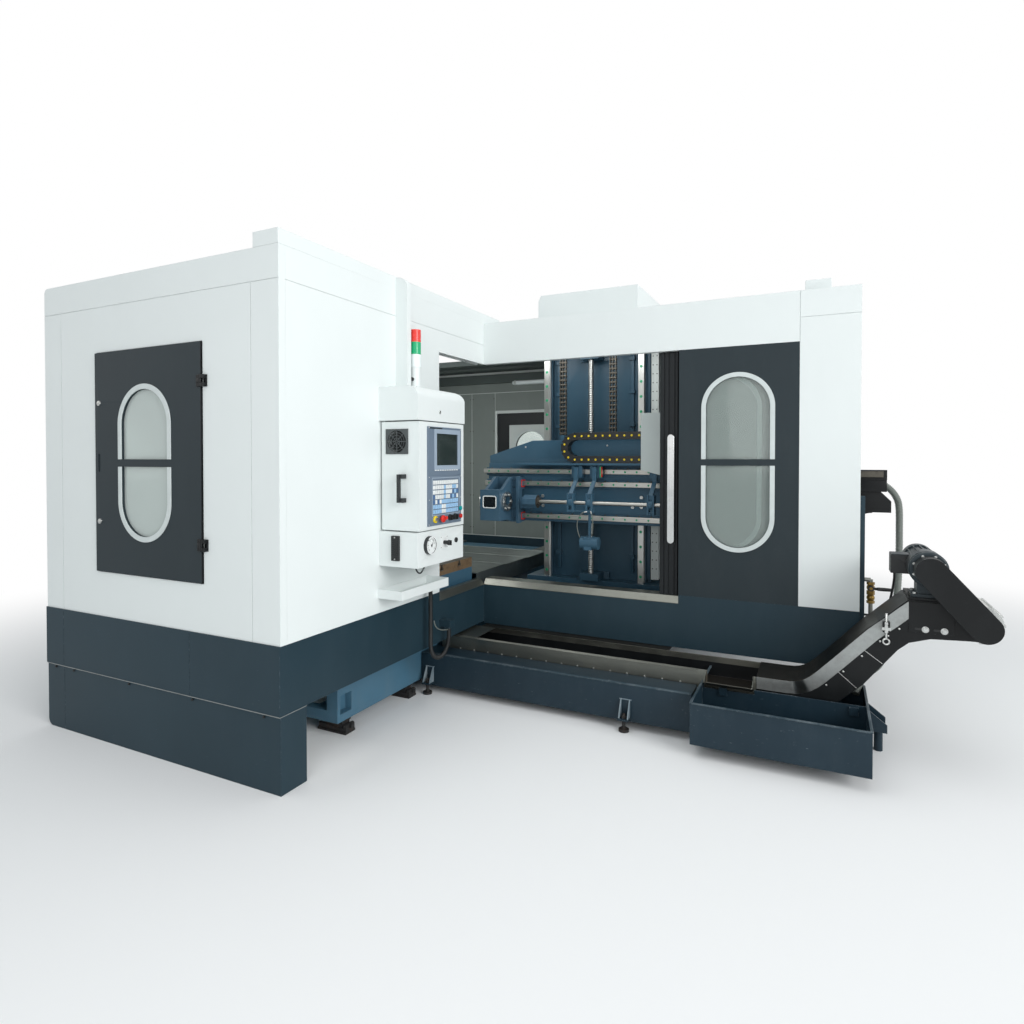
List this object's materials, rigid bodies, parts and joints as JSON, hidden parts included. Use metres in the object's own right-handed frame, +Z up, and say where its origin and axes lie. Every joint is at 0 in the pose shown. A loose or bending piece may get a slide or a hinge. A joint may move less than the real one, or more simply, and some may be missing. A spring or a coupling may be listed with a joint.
{
  "type": "deep hole drilling machine",
  "caption": "Enclosed deep hole drilling machine: work cabin with travelling table, drill cabin with lifting horizontal drill beam, chip conveyor, coolant tanks and operator panel.",
  "frame": {"origin": "on the floor under the middle of the machine's bounding box", "axes": "+X along the front of the drill cabin towards the chip conveyor's head, +Y from the front to the back, +Z up"},
  "size_m": [4.604, 4.028, 2.65],
  "materials": {
    "white_paint": "light grey-white powder coat with a fine orange-peel texture",
    "wall_paint": "light grey powder coat, a little darker inside",
    "dark_paint": "dark blue-grey powder coat",
    "door_paint": "dark grey powder coat",
    "black_paint": "semi-matte black paint",
    "casting_paint": "dark blue-grey machine enamel",
    "bed_paint": "grey-blue machine enamel",
    "beam_paint": "grey-blue machine enamel",
    "cover_paint": "light grey powder coat",
    "tank_paint": "dark blue-grey enamel",
    "rail_steel": "ground steel",
    "stainless": "brushed stainless sheet",
    "chain_steel": "oiled dark steel",
    "glass": "clear safety glass in a light frame",
    "bezel_paint": "blue-grey panel with a dark screen and white and pale blue keys",
    "red_plastic": "red plastic",
    "teal_plastic": "teal plastic",
    "black_plastic": "black plastic",
    "lamp_stack": "clear, green and red lamp segments on a grey base",
    "brass": "dull brass",
    "hose_rubber": "grey ribbed hose",
    "black_rubber": "black ribbed conduit and cable",
    "drum_steel": "grey steel"
  },
  "bodies": {
    "machine": {"bed": "bed_paint", "levelling_feet": "black_paint", "column": "casting_paint", "column_rails": "rail_steel", "lift_chains": "chain_steel", "wing_front_wall": "white_paint", "wing_side_wall": "white_paint", "outer_walls": "wall_paint", "roof": "white_paint", "base_skirts": "dark_paint", "drill_front": "white_paint", "fixed_panel": "dark_paint", "fixed_window": "glass", "door_sill": "stainless", "door_hinges": "black_paint", "pendant_head": "white_paint", "pendant_base": "white_paint", "signal_tower": "lamp_stack", "conveyor_trough": "stainless", "conveyor_housing": "black_paint", "gearmotor": "cover_paint", "coolant_tanks": "tank_paint", "valve_pipe": "brass", "cabin_hose": "hose_rubber", "pendant_conduit": "black_rubber", "motor_cable": "black_rubber", "way_cover_rear": "stainless"},
    "service_door_leaf": {"service_door": "door_paint", "service_window": "glass"},
    "rear_door_leaf": {"rear_door": "black_paint", "rear_window": "glass"},
    "rear_lever": {"rear_handle": "rail_steel"},
    "front_leaf": {"sliding_door": "door_paint", "sliding_window": "glass"},
    "second_leaf": {"trailing_leaf": "door_paint"},
    "side_leaf": {"side_door": "door_paint"},
    "operator_panel": {"pendant_case": "white_paint", "control_panel": "bezel_paint"},
    "stop_mushroom": {"e_stop": "red_plastic"},
    "mode_switch": {"mode_knob": "black_plastic"},
    "feed_switch": {"feed_knob": "black_plastic"},
    "red_button": {"stop_button": "red_plastic"},
    "teal_button": {"start_button": "teal_plastic"},
    "fan": {"fan_rotor": "black_plastic"},
    "lift": {"beam": "beam_paint", "beam_rails": "rail_steel", "drag_chain": "black_plastic", "beam_cover": "cover_paint"},
    "screw": {"lift_screw": "rail_steel"},
    "head": {"drill_head": "beam_paint"},
    "spindle": {"spindle_carriage": "cover_paint"},
    "drill": {"drill_tube": "rail_steel"},
    "rest_a": {"steady_rest_a": "beam_paint"},
    "rest_b": {"steady_rest_b": "beam_paint"},
    "rest_c": {"steady_rest_c": "beam_paint"},
    "work_table": {"table": "beam_paint", "way_cover_front": "stainless"},
    "cover_section": {"way_cover_middle": "stainless"},
    "drum": {"conveyor_drum": "drum_steel"},
    "lever": {"valve_lever": "black_plastic"}
  },
  "joints": [
    {"name": "service_door_hinge", "type": "hinge", "parent": "machine", "child": "service_door_leaf", "pos_m": [-1.032, -2.007, 1.45], "axis": [0, 0, 1], "range_deg": [0, 110]},
    {"name": "rear_door_hinge", "type": "hinge", "parent": "machine", "child": "rear_door_leaf", "pos_m": [-0.759, 2.007, 1.45], "axis": [0, 0, -1], "range_deg": [0, 110]},
    {"name": "rear_handle_turn", "type": "hinge", "parent": "rear_door_leaf", "child": "rear_lever", "pos_m": [-1.511, 1.971, 1.45], "axis": [0, 1, 0], "range_deg": [0, 45]},
    {"name": "sliding_door_slide", "type": "slide", "parent": "machine", "child": "front_leaf", "axis": [-1, 0, 0], "range_m": [0, 1.209]},
    {"name": "trailing_leaf_slide", "type": "slide", "parent": "machine", "child": "second_leaf", "axis": [-1, 0, 0], "range_m": [0, 0.605]},
    {"name": "side_door_slide", "type": "slide", "parent": "machine", "child": "side_leaf", "axis": [0, 1, 0], "range_m": [0, 0.56]},
    {"name": "panel_swing", "type": "hinge", "parent": "machine", "child": "operator_panel", "pos_m": [-0.533, -1.285, 1.38], "axis": [0, 0, -1], "range_deg": [0, 70]},
    {"name": "e_stop_press", "type": "slide", "parent": "operator_panel", "child": "stop_mushroom", "axis": [-1, 0, 0], "range_m": [0, 0.003], "stiffness_N_per_m": 400},
    {"name": "mode_knob_turn", "type": "hinge", "parent": "operator_panel", "child": "mode_switch", "pos_m": [-0.298, -1.016, 1.149], "axis": [1, 0, 0], "range_deg": [-90, 90]},
    {"name": "feed_knob_turn", "type": "hinge", "parent": "operator_panel", "child": "feed_switch", "pos_m": [-0.298, -0.962, 1.149], "axis": [1, 0, 0], "range_deg": [-135, 135]},
    {"name": "stop_button_press", "type": "slide", "parent": "operator_panel", "child": "red_button", "axis": [-1, 0, 0], "range_m": [0, 0.003], "stiffness_N_per_m": 300},
    {"name": "start_button_press", "type": "slide", "parent": "operator_panel", "child": "teal_button", "axis": [-1, 0, 0], "range_m": [0, 0.003], "stiffness_N_per_m": 300},
    {"name": "fan_spin", "type": "hinge", "parent": "operator_panel", "child": "fan", "pos_m": [-0.444, -1.285, 1.561], "axis": [0, -1, 0], "continuous": true},
    {"name": "z_slide", "type": "slide", "parent": "machine", "child": "lift", "axis": [0, 0, 1], "range_m": [-0.24, 0.58], "deforming": ["lift_chains"]},
    {"name": "screw_turn", "type": "hinge", "parent": "machine", "child": "screw", "pos_m": [0.0525, 0.342, 1.4], "axis": [0, 0, 1], "range_deg": [-4400, 10500]},
    {"name": "head_slide", "type": "slide", "parent": "lift", "child": "head", "axis": [-1, 0, 0], "range_m": [0, 0.1]},
    {"name": "drill_feed", "type": "slide", "parent": "lift", "child": "spindle", "axis": [-1, 0, 0], "range_m": [0, 0.85]},
    {"name": "drill_spin", "type": "hinge", "parent": "spindle", "child": "drill", "pos_m": [0.945, 0.028, 1.175], "axis": [-1, 0, 0], "continuous": true},
    {"name": "rest_a_slide", "type": "slide", "parent": "lift", "child": "rest_a", "axis": [-1, 0, 0], "range_m": [0, 0.18]},
    {"name": "rest_b_slide", "type": "slide", "parent": "lift", "child": "rest_b", "axis": [-1, 0, 0], "range_m": [0, 0.235]},
    {"name": "rest_c_slide", "type": "slide", "parent": "lift", "child": "rest_c", "axis": [-1, 0, 0], "range_m": [0, 0.56]},
    {"name": "table_slide", "type": "slide", "parent": "machine", "child": "work_table", "axis": [0, 1, 0], "range_m": [0, 0.8]},
    {"name": "cover_slide", "type": "slide", "parent": "machine", "child": "cover_section", "axis": [0, 1, 0], "range_m": [0, 0.405]},
    {"name": "drum_spin", "type": "hinge", "parent": "machine", "child": "drum", "pos_m": [2.21, -0.35, 0.712], "axis": [0, 1, 0], "continuous": true},
    {"name": "valve_turn", "type": "hinge", "parent": "machine", "child": "lever", "pos_m": [1.789, -0.082, 0.77], "axis": [0, -1, 0], "range_deg": [0, 90]}
  ],
  "couplings": [
    {"joint": "trailing_leaf_slide", "follows": "sliding_door_slide", "ratio": 0.4963},
    {"joint": "screw_turn", "follows": "z_slide", "rad_per_m": 314.16},
    {"joint": "rest_a_slide", "follows": "drill_feed", "ratio": 0.21},
    {"joint": "rest_b_slide", "follows": "drill_feed", "ratio": 0.27},
    {"joint": "rest_c_slide", "follows": "drill_feed", "ratio": 0.65},
    {"joint": "cover_slide", "follows": "table_slide", "ratio": 0.5}
  ]
}
